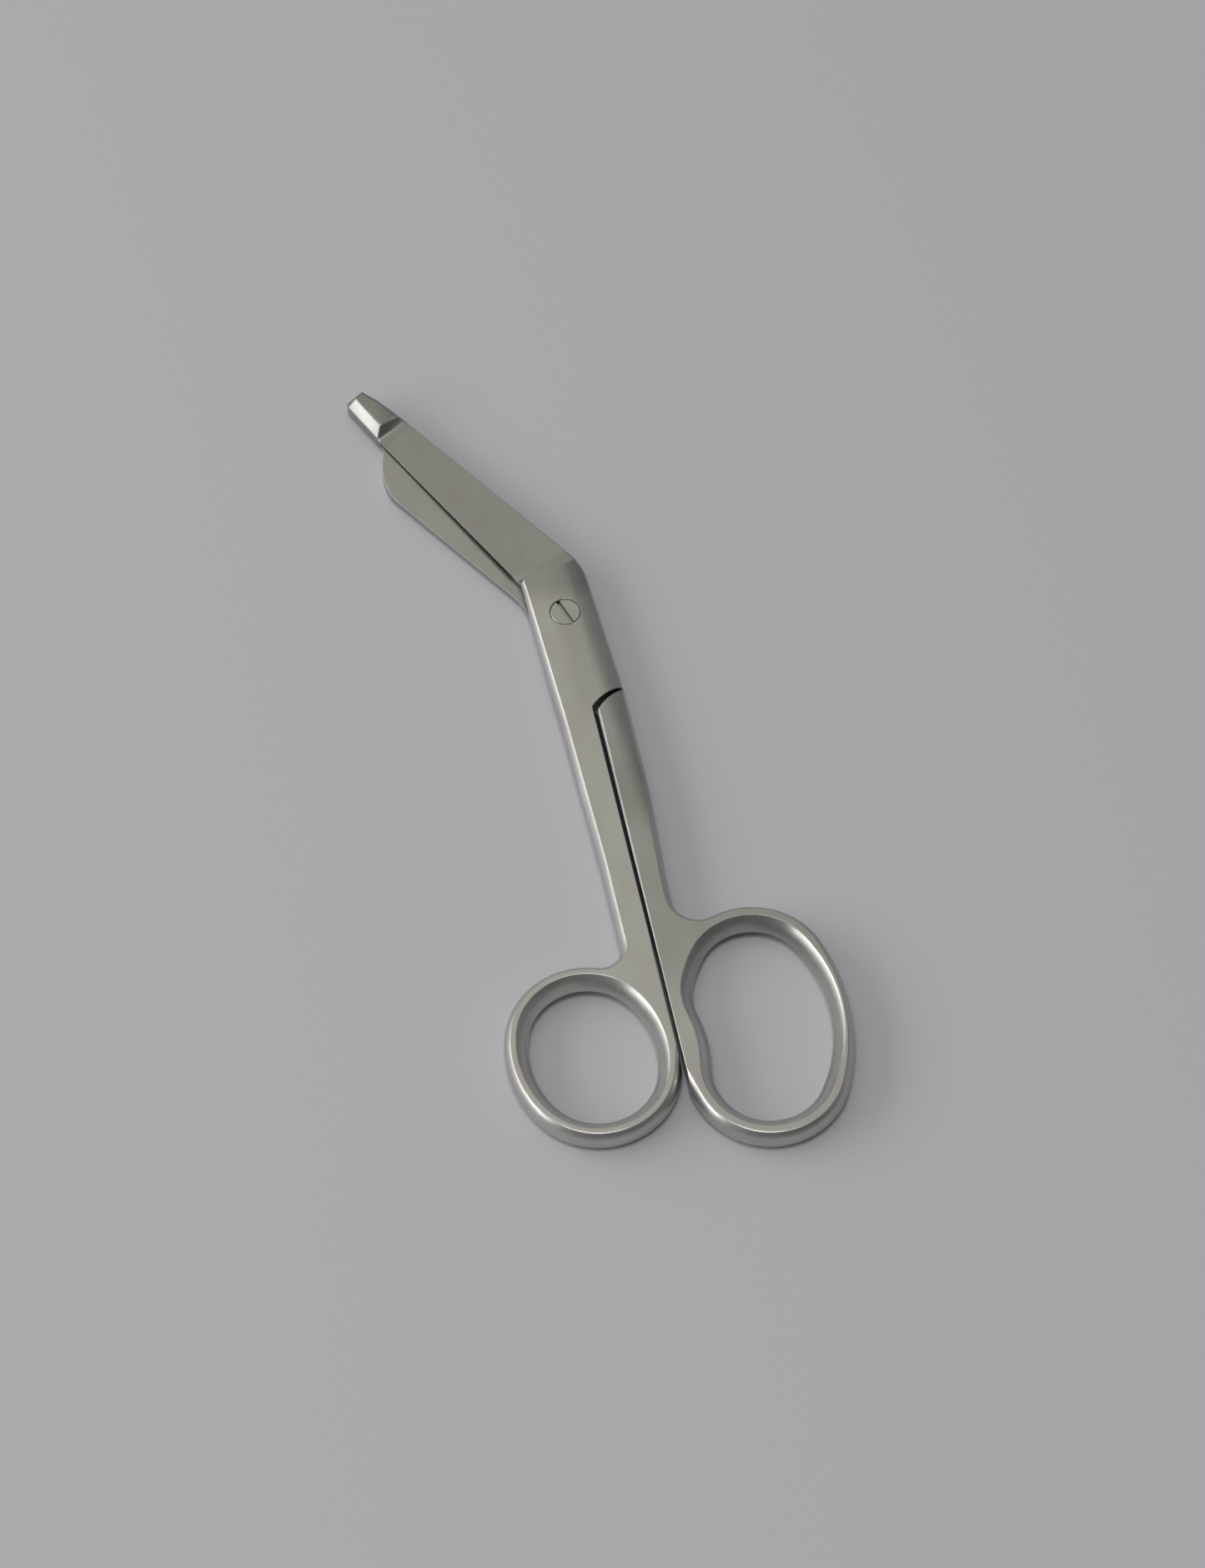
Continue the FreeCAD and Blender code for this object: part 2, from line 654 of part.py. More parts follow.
def right_side(start_along, end_y):
    """The right side of the joint, from the back of the blade down to a height."""
    return [(blade_point(start_along, size("back_offset")), 0),
            (RIGHT_CORNER, size("corner_radius")),
            (RIGHT_SHOULDER + RIGHT_SIDE * ((end_y - RIGHT_SHOULDER.y) / RIGHT_SIDE.y), 0)]


# Upper half: probe blade, left shank and small ring

def upper_bar(top):
    """Left side of the joint, the shank and the outside of the small ring."""
    ring = SMALL_OUTSIDE
    start, end, crotch = crotch_arc(LEFT_WAIST, DOWN, Vector(-1, 0, 0), ring, size("left_crotch_radius"))
    flared = (HEEL - Vector(size("left_flat"), 0, 0) - LEFT_KNEE).normalize()
    high_left = LEFT_KNEE + flared * ((top - LEFT_KNEE.y) / flared.y)
    low_end, touch, way = run_out(ring, ring.bottom_left, ring.bottom_right, ring.right_side_centre, GAP_LEFT)
    far = touch + way * (size("ring_distance") / 3)
    bend = size("shank_bend_radius")
    return rounded([(far, 0), (Vector(GAP_LEFT, far.y / 2, 0), 0), (Vector(GAP_LEFT, top, 0), 0),
                    (high_left, 0), (LEFT_KNEE, bend), (LEFT_WAIST, bend), (start, 0)], closed=False) + [
        crotch,
        arc_about(ring.top, ring.end_radius, end, ring.top_left),
        ring.left_arc(ring.top_left, ring.bottom_left),
        *low_end,
        Part.LineSegment(touch, far),
    ]


def beyond_left_side():
    """What is ground off the bulging left side between the knee and the heel."""
    low = LEFT_KNEE - LEFT_SIDE
    high = HEEL + LEFT_SIDE * SPARE
    away = Vector(-SPARE, 0, 0)
    return polygon(low, high, high + away, low + away)


def edge_line_at(along):
    """A point of the upper cutting edge's line."""
    share = (along - size("heel_along")) / (size("toe_along") - size("heel_along"))
    return HEEL + (TOE - HEEL) * share


def upper_plate(bottom):
    """The joint plate and the blade."""
    end = BLADE_END
    within = size("left_shank_side")        # the plate reaches this far into the bar
    right = right_side(end, bottom)
    return rounded([(HEEL, 0), (edge_line_at(end), 0)] + right + [
        (Vector(-within / 2, bottom, 0), 0),
        (Vector(-within / 2, 0, 0), 0),
        (HEEL + GRIND_WAY * within, 0),
    ])


PROBE_HEEL = edge_line_at(size("probe_along"))
PROBE_MIDDLE = (PROBE_HEEL.dot(ACROSS) + size("back_offset")) / 2 + size("probe_tip_shift")
PROBE_TIP = blade_point(size("probe_along") + size("probe_length"), PROBE_MIDDLE)
PROBE_NOSE_HALF = ACROSS * (size("probe_tip_radius") + size("probe_tip_flat") / 2)
PROBE_SIDE = (PROBE_TIP - PROBE_NOSE_HALF - PROBE_HEEL).normalize()


def probe_corners():
    radius = size("probe_tip_radius")
    return [(PROBE_HEEL, 0), (PROBE_TIP - PROBE_NOSE_HALF, radius), (PROBE_TIP + PROBE_NOSE_HALF, radius),
            (blade_point(size("probe_along"), size("back_offset")), 0)]


def probe_facets(body):
    """The facets along the edge side of the probe, over the corner of its nose and across it."""
    nose = PROBE_TIP - ALONG * size("probe_nose_width")
    facet(body, "probe_nose_facet", nose + ACROSS * SPARE, nose - ACROSS * SPARE,
          size("probe_nose_width"), size("probe_nose_depth"))
    inwards = PROBE_SIDE.cross(Vector(0, 0, 1))
    side = PROBE_HEEL + inwards * size("probe_facet_width")
    facet(body, "probe_side_facet", side + PROBE_SIDE * (size("probe_length") + SPARE), side,
          size("probe_facet_width"), size("probe_facet_depth"))
    radius = size("probe_tip_radius")
    outwards = (ALONG - inwards).normalize()
    middle = meet(PROBE_HEEL + inwards * radius, PROBE_SIDE, PROBE_TIP - ALONG * radius, ACROSS)
    corner = middle + outwards * (radius - size("probe_corner_width"))
    sideways = outwards.cross(Vector(0, 0, 1)) * SPARE
    facet(body, "probe_corner_facet", corner + sideways, corner - sideways,
          size("probe_corner_width"), (size("probe_facet_depth") + size("probe_nose_depth")) / 2)


def around_probe():
    """What is cut away round the probe."""
    start = size("probe_along")
    return rounded(probe_corners() + [
        (blade_point(start, size("back_offset") + SPARE), 0),
        (blade_point(BLADE_END + SPARE, size("back_offset") + SPARE), 0),
        (blade_point(BLADE_END + SPARE, -SPARE), 0),
        (blade_point(start, -SPARE), 0),
    ])


def make_upper_half():
    body = new_body("probe_blade_half")
    bar_top = HEEL.y + size("heel_along") / 2
    pad(body, "upper_bar", upper_bar(bar_top), BLANK_BOTTOM_RULE, BLANK_TOP_RULE)
    round_sides(body, "upper_bar_sides", along_line(LEFT_WAIST, LEFT_KNEE - LEFT_WAIST))
    pocket(body, "left_flat", beyond_left_side(), BELOW_RULE, ABOVE_RULE)
    plate_bottom = RIGHT_SHOULDER.y - SPARE
    pad(body, "upper_plate", upper_plate(plate_bottom), BLANK_BOTTOM_RULE, BLANK_TOP_RULE)
    round_sides(body, "upper_plate_side", along_line(RIGHT_SHOULDER, RIGHT_SIDE))
    grind_faces(body)
    ring_hole(body, "small_ring_hole", SMALL_HOLE)
    pocket(body, "upper_gap", beside_gap(RIGHT_OUTER, GAP_LEFT), BELOW_RULE, ABOVE_RULE)
    pocket(body, "upper_lap", above_shoulder(LEFT_OUTER, GAP_LEFT), BELOW_RULE, UPPER_LAP_RULE)
    pocket(body, "probe_sides", around_probe(), BELOW_RULE, ABOVE_RULE)
    pad(body, "probe_underside", rounded(probe_corners()), "{probe_floor}", INSIDE_BLADE_RULE)
    grind(body, "upper_grind", HEEL, THICKNESS, to_probe=True)
    probe_facets(body)
    flank(body, "upper_flank", THICKNESS)
    round_hole(body, "upper_bore", "stem_diameter", "running_clearance", BELOW_RULE)
    round_hole(body, "upper_seat", "head_diameter", "running_clearance",
               "{thickness} - {head_height} - {running_clearance}")
    return body


# Lower half: blunt blade, right shank and large ring

def lower_bar():
    """Right side of the joint, the shank and the outside of the large ring."""
    ring = LARGE_OUTSIDE
    straight = Vector(size("right_shank_side"), size("right_straight_rise") - size("ring_distance"), 0)
    start, end, crotch = crotch_arc(RIGHT_WAIST, DOWN, Vector(1, 0, 0), ring, size("right_crotch_radius"))
    high_right = blade_point(size("heel_along") * 1.5, size("back_offset"))
    low_end, touch, way = run_out(ring, ring.bottom_right, ring.bottom_left, ring.left_side_centre, GAP_RIGHT)
    far = touch + way * (size("ring_distance") / 3)
    return rounded([
        (far, 0), (Vector(GAP_RIGHT, far.y / 2, 0), 0), (Vector(GAP_RIGHT, 0, 0), 0),
        (high_right - ACROSS * size("back_offset"), 0), (high_right, 0),
        (RIGHT_CORNER, size("corner_radius")), (RIGHT_SHOULDER, size("shoulder_bend_radius")),
        (straight, size("shank_bend_radius")), (RIGHT_WAIST, size("shank_bend_radius")), (start, 0),
    ], closed=False) + [
        crotch,
        arc_about(ring.top, ring.end_radius, end, ring.top_right),
        ring.right_arc(ring.top_right, ring.bottom_right),
        *low_end,
        Part.LineSegment(touch, far),
    ]


LOWER_HEEL = blade_point(size("heel_along"), size("back_offset"))
LOWER_TOE = blade_point(size("lower_toe_along"), size("lower_toe_across"))


def lower_plate(bottom):
    """The joint plate and the plain blade."""
    left_low = LEFT_KNEE + LEFT_SIDE * ((bottom - LEFT_KNEE.y) / LEFT_SIDE.y)
    run = LOWER_TOE - LOWER_HEEL
    end = LOWER_HEEL + run * ((BLADE_END - size("heel_along"))
                              / (size("lower_toe_along") - size("heel_along")))
    inner_x = size("right_shank_side") / 2
    return rounded([
        (left_low, 0),
        (LEFT_CORNER, size("left_corner_radius")),
        (blade_point(BLADE_END, -size("front_offset")), 0),
        (end, 0),
        (LOWER_HEEL, 0),
        (LOWER_HEEL - ACROSS * inner_x, 0),
        (Vector(inner_x, 0, 0), 0),
        (Vector(inner_x, bottom, 0), 0),
    ])


def beyond_lower_tip():
    """What is cut away past the blunt tip of the lower blade."""
    slope = Rotation(Vector(0, 0, 1), size("lower_tip_slope")).multVec(ACROSS)
    tip = LOWER_TOE
    back = meet(tip, slope, blade_point(0, -size("front_offset")), ALONG)
    radius = size("lower_tip_radius")
    return rounded([
        (tip + slope * SPARE, 0),
        (back, radius),
        (back - ALONG * SPARE, 0),
        (back - ALONG * SPARE - ACROSS * SPARE, 0),
        (blade_point(BLADE_END + SPARE, -SPARE), 0),
        (blade_point(BLADE_END + SPARE, 2 * SPARE), 0),
        (tip + slope * SPARE + ALONG * SPARE, 0),
    ])


def make_lower_half():
    body = new_body("blunt_blade_half")
    pad(body, "lower_bar", lower_bar(), BLANK_BOTTOM_RULE, BLANK_TOP_RULE)
    round_sides(body, "lower_bar_sides", along_line(RIGHT_SHOULDER, RIGHT_SIDE))
    plate_bottom = RIGHT_SHOULDER.y - SPARE
    pad(body, "lower_plate", lower_plate(plate_bottom), BLANK_BOTTOM_RULE, BLANK_TOP_RULE)
    round_sides(body, "lower_plate_side", along_line(LEFT_KNEE, LEFT_SIDE))
    grind_faces(body)
    ring_hole(body, "large_ring_hole", LARGE_HOLE,
              LARGE_HOLE.left_side_with_rest(size("rest_height"), size("rest_radius"),
                                             size("rest_above"), size("rest_below")))
    pocket(body, "lower_gap", beside_gap(LEFT_OUTER, GAP_RIGHT), BELOW_RULE, ABOVE_RULE)
    pocket(body, "lower_lap", above_shoulder(RIGHT_OUTER, GAP_RIGHT), LOWER_LAP_RULE, ABOVE_RULE)
    pocket(body, "blunt_tip", beyond_lower_tip(), BELOW_RULE, ABOVE_RULE)
    grind(body, "lower_grind", LOWER_HEEL, 0.0, to_probe=False)
    flank(body, "lower_flank_top", THICKNESS)
    flank(body, "lower_flank_under", 0.0)
    bevel_top = -size("shoulder_distance") + SPARE / 2
    bevel_depth = size("gap_bevel_start")
    facet(body, "gap_bevel", Vector(GAP_RIGHT + size("gap_bevel_end"), -size("ring_distance"), 0),
          Vector(GAP_RIGHT + size("gap_bevel_start"), bevel_top, 0), -bevel_depth, bevel_depth)
    round_hole(body, "lower_bore", "stem_diameter", "thread_clearance", BELOW_RULE)
    return body


# Pivot screw

def make_screw():
    body = new_body("pivot_screw")
    head = size("head_diameter") / 2
    stem = size("stem_diameter") / 2
    under = THICKNESS - size("head_height")
    chamfer = size("head_chamfer")
    profile = polygon(Vector(0, 0, 0), Vector(stem, 0, 0), Vector(stem, under, 0),
                      Vector(head, under, 0), Vector(head, THICKNESS - chamfer, 0),
                      Vector(head - chamfer, THICKNESS, 0), Vector(0, THICKNESS, 0))
    sketch = sketch_on(body, "screw_profile", profile, role="XZ_Plane")
    turned = body.newObject("PartDesign::Revolution", "turned_screw")
    turned.Profile = sketch
    turned.ReferenceAxis = (sketch, ["V_Axis"])
    turned.Angle = 360.0
    body.Tip = turned
    document.recompute()
    way = Rotation(Vector(0, 0, 1), size("slot_angle")).multVec(Vector(1, 0, 0))
    side = Vector(-way.y, way.x, 0) * (size("slot_width") / 2)
    reach = way * (2 * head)
    pocket(body, "slot", polygon(reach + side, side - reach, reach * -1 - side, reach - side),
           "{thickness} - {slot_depth}", ABOVE_RULE)
    return body


BODIES = [make_upper_half(), make_lower_half(), make_screw()]
document.recompute()

failed = [item.Name for item in document.Objects if {"Invalid", "Error"} & set(item.State)]
for body in BODIES:
    if body.Shape.isNull() or not body.Shape.isValid() or len(body.Shape.Solids) != 1:
        failed.append(body.Label)
if failed:
    raise RuntimeError("not built: " + ", ".join(failed))

os.makedirs("parts", exist_ok=True)
for body in BODIES:
    body.Shape.exportStep(os.path.join("parts", body.Label + ".step"))
    print(body.Label, "volume %.1f" % body.Shape.Volume, body.Shape.BoundBox)
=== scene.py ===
import math

import bpy
from mathutils import Matrix, Vector

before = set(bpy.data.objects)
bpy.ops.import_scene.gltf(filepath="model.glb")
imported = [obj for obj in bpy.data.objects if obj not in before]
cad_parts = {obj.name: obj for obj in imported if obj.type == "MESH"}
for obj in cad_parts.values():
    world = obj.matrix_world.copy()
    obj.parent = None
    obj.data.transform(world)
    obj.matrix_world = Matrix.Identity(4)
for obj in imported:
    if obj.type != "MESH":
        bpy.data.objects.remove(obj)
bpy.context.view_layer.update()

MM = 0.001


def span(start, end):
    """The two ends of a soft change, given in millimetres."""
    return start * MM, end * MM


# Places on the solids that the finish follows: x to the right and y towards the blades, both
# from the pivot, z from the table

BLADE_TURN = math.radians(33.8)                     # blades against the shanks
GRIND_TURN = BLADE_TURN - math.radians(11.4)        # the ground face runs slightly askew
HEEL_LINE = 8.3 * MM                                # where it ends, along its own turn
HEEL_BLEND = span(0.7, 1.5)                         # off that line
HEEL_INNER_X = span(-5.1, -4.6)                     # the line stops before the cutting edge
HEEL_Z = span(2.2, 2.5)                             # above the upper half's lap face
BLADE_Y = span(7.5, 9.5)                            # from the joint to the blade
EDGE_FADE = span(20, 38)                            # along the blade, towards the toe
EDGE_END = span(42.2, 42.5)                         # along the blade, at the probe
HOLLOW_START = span(40.9, 41.4)                     # the hollow before the probe, same way
HOLLOW = span(41.4, 43.6)
PROBE_START = span(41.2, 41.8)
NOSE_START = span(43.0, 44.0)
PROBE_TOP = Vector((-22.5, 42.7, 3.5)) * MM         # the highest spot of the probe's nose

JOINT_X = span(-3.0, 0.5)                           # the joint's left side to its middle
JOINT_UPPER_Y = span(1.0, 5.5)                      # its middle to the blade
JOINT_LOWER_Y = span(-22, -14)                      # the shank to the joint
LEFT_SIDE_X = span(-4.2, -3.2)                      # the left shank's outer side
LEFT_SIDE_UPPER_Y = span(-35, -12)
LEFT_SIDE_LOWER_Y = span(-64, -61)
GAP_SIDE_X = span(2.5, 3.5)                         # the right shank's side at the gap
GAP_SIDE_Y = span(-20, -16)
GAP_SIDE_Z = span(3.3, 3.7)
DARK_BAND_Y = -32 * MM                                 # across the right shank
DARK_BAND_BLEND = span(2, 8)

SMALL_RING = Vector((-11.2, -72.85, 0)) * MM        # middles of the two finger rings
LARGE_RING = Vector((13.0, -72.85, 0)) * MM
SMALL_RING_REACH = 12.7 * MM                        # circles round the holes, inside the rims
LARGE_RING_REACH = 17.3 * MM
RIDGE_Z = 2.0 * MM                                  # a ring's inner walls meet half way up
RIDGE_BLEND = span(0.6, 1.4)                        # off the ridge
RING_Y = span(-60, -56)                             # from the ring to the shank
RING_WALL_Z = span(2.0, 3.2)
RIGHT_SHANK_Y = span(-72, -58)
RING_GRAIN = span(16.5, 20.5)                       # from a ring's middle


# Small helpers for node trees

MIX_SHARE = 0                                       # sockets of a Mix node
VECTOR_MIX = (4, 5, 1)                              # first and second input, output
COLOUR_MIX = (6, 7, 2)


class Nodes:
    """A material's or the world's nodes, added and linked in one call each."""

    def __init__(self, owner):
        owner.use_nodes = True
        self.tree = owner.node_tree
        self.tree.nodes.clear()

    def add(self, kind, settings=None, **inputs):
        node = self.tree.nodes.new(kind)
        for name, value in (settings or {}).items():
            setattr(node, name, value)
        for name, value in inputs.items():
            self.set(node, name.replace("_", " "), value)
        return node

    def set(self, node, name, value):
        """Links or sets an input, which is named or counted."""
        socket = node.inputs[name]
        if isinstance(value, bpy.types.NodeSocket):
            self.tree.links.new(value, socket)
        else:
            socket.default_value = value

    def output(self, kind, shader):
        """Ends the tree with a material's or the world's output."""
        self.tree.links.new(shader.outputs[0], self.add(kind).inputs["Surface"])

    # Numbers

    def math(self, operation, first, second=0.0):
        node = self.add("ShaderNodeMath", {"operation": operation})
        self.set(node, 0, first)
        self.set(node, 1, second)
        return node.outputs[0]

    def product(self, first, *others):
        for other in others:
            first = self.math("MULTIPLY", first, other)
        return first

    def between(self, share, first, second):
        """From one value to another by a share."""
        return self.math("ADD", first, self.product(self.math("SUBTRACT", second, first), share))

    def remap(self, value, ends, low, high, kind="SMOOTHSTEP"):
        """The value between its two ends becomes one from low to high."""
        node = self.add("ShaderNodeMapRange", {"interpolation_type": kind}, Value=value)
        for name, number in zip(("From Min", "From Max", "To Min", "To Max"), (*ends, low, high)):
            self.set(node, name, number)
        return node.outputs["Result"]

    def rise(self, value, ends):
        return self.remap(value, ends, 0.0, 1.0)

    def fall(self, value, ends):
        return self.remap(value, ends, 1.0, 0.0)

    # Vectors

    def vector(self, operation, first, second=None, scale=None, result="Vector"):
        node = self.add("ShaderNodeVectorMath", {"operation": operation})
        self.set(node, 0, first)
        if second is not None:
            self.set(node, 1, second)
        if scale is not None:
            self.set(node, "Scale", scale)
        return node.outputs[result]

    def dot(self, first, second):
        return self.vector("DOT_PRODUCT", first, second, result="Value")

    def axes(self, vector):
        return tuple(self.add("ShaderNodeSeparateXYZ", Vector=vector).outputs)

    def upright(self, height):
        """A vector that has only a height."""
        return self.add("ShaderNodeCombineXYZ", Z=height).outputs[0]

    def level(self, vector):
        """The vector without its height."""
        return self.vector("MULTIPLY", vector, (1, 1, 0))

    def mix(self, share, first, second, kind="VECTOR", sockets=VECTOR_MIX, **settings):
        node = self.add("ShaderNodeMix", {"data_type": kind, **settings})
        for socket, value in zip((MIX_SHARE, *sockets), (share, first, second)):
            self.set(node, socket, value)
        return node.outputs[sockets[2]]

    def mapped(self, vector, scale=(1, 1, 1), turn=0.0, shift=(0, 0, 0)):
        return self.add("ShaderNodeMapping", Vector=vector, Scale=scale, Rotation=(0, 0, turn),
                        Location=shift).outputs["Vector"]

    def noise(self, vector, scale=1.0, detail=4.0, roughness=0.5):
        return self.add("ShaderNodeTexNoise", Vector=vector, Scale=scale, Detail=detail,
                        Roughness=roughness).outputs["Fac"]


# Satin stainless steel

TINT = (0.60, 0.60, 0.585)
SCREW_TINT = (0.53, 0.53, 0.515)
WARM_SMUDGE = (0.97, 0.93, 0.92)                    # factors of the tint
COOL_SMUDGE = (1.00, 1.03, 0.99)
ROUGHNESS = 0.34
SCREW_ROUGHNESS = 0.32
CLOUD_ROUGHNESS = (-0.02, 0.025)                    # soft clouds make it vary by this much
LINE_ROUGHNESS = (-0.03, 0.03)                      # and the drawn lines by this much
BUMP = 0.12
BUMP_HEIGHT = 0.03 * MM

BEVEL_SAMPLES = 8
CREASE = 0.12 * MM                                  # radii of the shaded creases
SCREW_CREASE = 0.06 * MM
RIDGE_CREASE = 0.04 * MM
RING_CREASE = 0.32 * MM
WORN_CREASE = 0.45 * MM
LEFT_SIDE_CREASE = 0.30 * MM
GAP_SIDE_CREASE = 0.26 * MM

PAINTED_SHADE_REACH = 1.3 * MM                                   # painted shade: how far off other surfaces darken the steel's colour
PAINTED_SHADE_SAMPLES = 12
PAINTED_SHADE_ENDS = (0.12, 0.75)
PAINTED_SHADE_TONE = 0.05

UPPER_BLADE_TONE = 0.66                             # factors of the tint, region by region
LOWER_BLADE_TONE = 0.80
RIGHT_SHANK_TONE = 0.78
LARGE_RING_TONE = 0.95
# painted shade on the joint, towards its middle and towards the blade
JOINT_MIDDLE_TONE = 0.86
JOINT_UPPER_TONE = 0.76
DARK_BAND_TONE = 0.84
EDGE_WALL_TONES = (0.10, 0.32)                      # painted shade, at the heel and at the toe


class Steel(Nodes):
    """Ground and glass-blasted steel: fine drawn lines, soft smudges, rounded creases.

    The tone is a factor of the tint, which begins as painted shade where other surfaces are near,
    and the crease is the radius of the shaded edges. Steps change both place by place before
    `creases` makes the normal, and others bend the normal.
    """

    def __init__(self, name, crease):
        self.material = bpy.data.materials.new(name)
        super().__init__(self.material)
        coordinates = self.add("ShaderNodeTexCoord")
        self.place = self.grain = coordinates.outputs["Object"]
        self.own_normal = coordinates.outputs["Normal"]
        self.x, self.y, self.z = self.axes(self.place)
        self.on_blade = self.rise(self.y, BLADE_Y)
        self.on_ring = self.fall(self.y, RING_Y)
        self.crease = crease
        # Painted shade: the colour darkens where other surfaces are near
        occluded = self.add("ShaderNodeAmbientOcclusion", {"samples": PAINTED_SHADE_SAMPLES},
                          Distance=PAINTED_SHADE_REACH).outputs["AO"]
        self.tone = self.remap(occluded, PAINTED_SHADE_ENDS, PAINTED_SHADE_TONE, 1.0, kind="LINEAR")

    def along(self, turn):
        """Distance from the pivot along a way that leans from y by an angle."""
        return self.math("ADD", self.product(self.x, -math.sin(turn)),
                         self.product(self.y, math.cos(turn)))

    def lighten(self, share):
        """Takes the painted shade back by a share."""
        self.tone = self.between(share, self.tone, 1.0)

    def darken(self, factor):
        self.tone = self.product(self.tone, factor)

    def widen(self, share, crease):
        """Changes the creases' radius by a share."""
        self.crease = self.between(share, self.crease, crease)

    def creases(self):
        bevel = self.add("ShaderNodeBevel", {"samples": BEVEL_SAMPLES}, Radius=self.crease)
        self.normal = bevel.outputs["Normal"]

    def bend(self, share, normal):
        """Turns the normal to another one by a share."""
        self.normal = self.mix(share, self.normal, normal)

    def finish(self, tint, roughness):
        """Adds the fine marks and ends the material."""
        lines = self.noise(self.mapped(self.grain, scale=(9000, 260, 2500)), roughness=0.6)
        fine = self.noise(self.mapped(self.grain, scale=(16000, 5000, 16000)), detail=2.0)
        smudge = self.noise(self.mapped(self.place, scale=(160, 90, 160)), roughness=0.6)
        cloud = self.noise(self.mapped(self.place, scale=(320, 210, 320), shift=(3, 1, 2)))

        ramp = self.add("ShaderNodeValToRGB", Fac=self.rise(smudge, (0.3, 0.7)))
        for element, factors in zip(ramp.color_ramp.elements, (WARM_SMUDGE, COOL_SMUDGE)):
            element.color = (*(part * factor for part, factor in zip(tint, factors)), 1)
        colour = self.mix(1.0, ramp.outputs["Color"], self.tone, kind="RGBA", sockets=COLOUR_MIX,
                          blend_type="MULTIPLY")

        rougher = (roughness + change for change in CLOUD_ROUGHNESS)
        uneven = self.math("ADD", self.remap(cloud, (0.25, 0.75), *rougher),
                           self.remap(lines, (0.3, 0.7), *LINE_ROUGHNESS))
        height = self.math("ADD", self.product(lines, 0.7), self.product(fine, 0.3))
        bump = self.add("ShaderNodeBump", Height=height, Normal=self.normal, Strength=BUMP,
                        Distance=BUMP_HEIGHT)
        shader = self.add("ShaderNodeBsdfPrincipled", Metallic=1.0, Roughness=uneven,
                          Base_Color=colour, Normal=bump.outputs["Normal"])
        self.output("ShaderNodeOutputMaterial", shader)
        return self.material


def follow_shape(steel, ring):
    """Turns the drawn lines along the blade and round the finger ring."""
    along_blade = steel.mapped(steel.place, turn=math.pi / 2 - BLADE_TURN)
    straight = steel.mix(steel.on_blade, steel.place, along_blade)
    x, y, z = steel.axes(steel.vector("SUBTRACT", steel.place, tuple(ring)))
    flat = steel.add("ShaderNodeCombineXYZ", X=x, Y=y).outputs[0]
    distance = steel.vector("LENGTH", flat, result="Value")
    bar_radius = 12 * MM                            # makes an angle into a length
    around = steel.product(steel.math("ARCTAN2", y, x), bar_radius)
    round_ring = steel.add("ShaderNodeCombineXYZ", X=distance, Y=around, Z=z).outputs[0]
    steel.grain = steel.mix(steel.fall(distance, RING_GRAIN), straight, round_ring)


def ring_edges(steel):
    """Broad creases at a ring's lands, a narrow one at its ridge, and less painted shade on the
    walls, most so low down.
    """
    from_ridge = steel.math("ABSOLUTE", steel.math("SUBTRACT", steel.z, RIDGE_Z))
    steel.widen(steel.on_ring, steel.remap(from_ridge, RIDGE_BLEND, RIDGE_CREASE, RING_CREASE))
    steel.lighten(steel.product(steel.on_ring, steel.remap(steel.z, RING_WALL_Z, 0.9, 0.4)))


def roll_ring_wall(steel, ring, reach):
    """Inside a ring the wall rolls from its ridge up to a steep crease."""
    ridge_height, crease_height = 0.25, 0.75        # of the normal
    slope = (crease_height - ridge_height) / RIDGE_Z
    normal = steel.add("ShaderNodeNewGeometry").outputs["Normal"]
    from_ridge = steel.math("SUBTRACT", steel.z, RIDGE_Z)
    rise = steel.product(steel.math("ABSOLUTE", from_ridge), slope)
    height = steel.product(steel.math("ADD", rise, ridge_height), steel.math("SIGN", from_ridge))
    width = steel.math("SQRT", steel.math("SUBTRACT", 1.0, steel.product(height, height)))
    sideways = steel.vector("NORMALIZE", steel.level(normal))
    rolled = steel.vector("ADD", steel.vector("SCALE", sideways, scale=width),
                          steel.upright(height))

    is_wall = steel.math("LESS_THAN", steel.math("ABSOLUTE", steel.axes(normal)[2]), 0.9)
    outwards = steel.level(steel.vector("SUBTRACT", steel.place, tuple(ring)))
    faces_in = steel.math("LESS_THAN", steel.dot(outwards, steel.own_normal), 0.0)
    is_near = steel.math("LESS_THAN", steel.dot(outwards, outwards), reach ** 2)
    steel.bend(steel.product(is_wall, faces_in, is_near), rolled)


def near_heel(steel):
    """1 where the ground face of the upper blade runs out at the heel."""
    off = steel.math("ABSOLUTE", steel.math("SUBTRACT", steel.along(GRIND_TURN), HEEL_LINE))
    return steel.product(steel.fall(off, HEEL_BLEND), steel.rise(steel.x, HEEL_INNER_X))


def joint_painted_shade(steel):
    """Painted shade: the joint darkens from its left side towards the middle and towards the
    blade.
    """
    across = steel.remap(steel.x, JOINT_X, 1.0, JOINT_MIDDLE_TONE)
    upper = steel.remap(steel.y, JOINT_UPPER_Y, 1.0, JOINT_UPPER_TONE)
    return steel.between(steel.rise(steel.y, JOINT_LOWER_Y), 1.0, steel.product(across, upper))


def edge_wall_painted_shade(steel, along):
    """Painted shade: the low wall of the upper cutting edge is darkened, most at the heel."""
    edge_way = (-math.cos(BLADE_TURN), -math.sin(BLADE_TURN), 0)
    is_wall = steel.rise(steel.dot(steel.own_normal, edge_way), (0.70, 0.80))
    dark = steel.remap(along, EDGE_FADE, *EDGE_WALL_TONES)
    return steel.between(steel.product(is_wall, steel.fall(along, EDGE_END)), 1.0, dark)


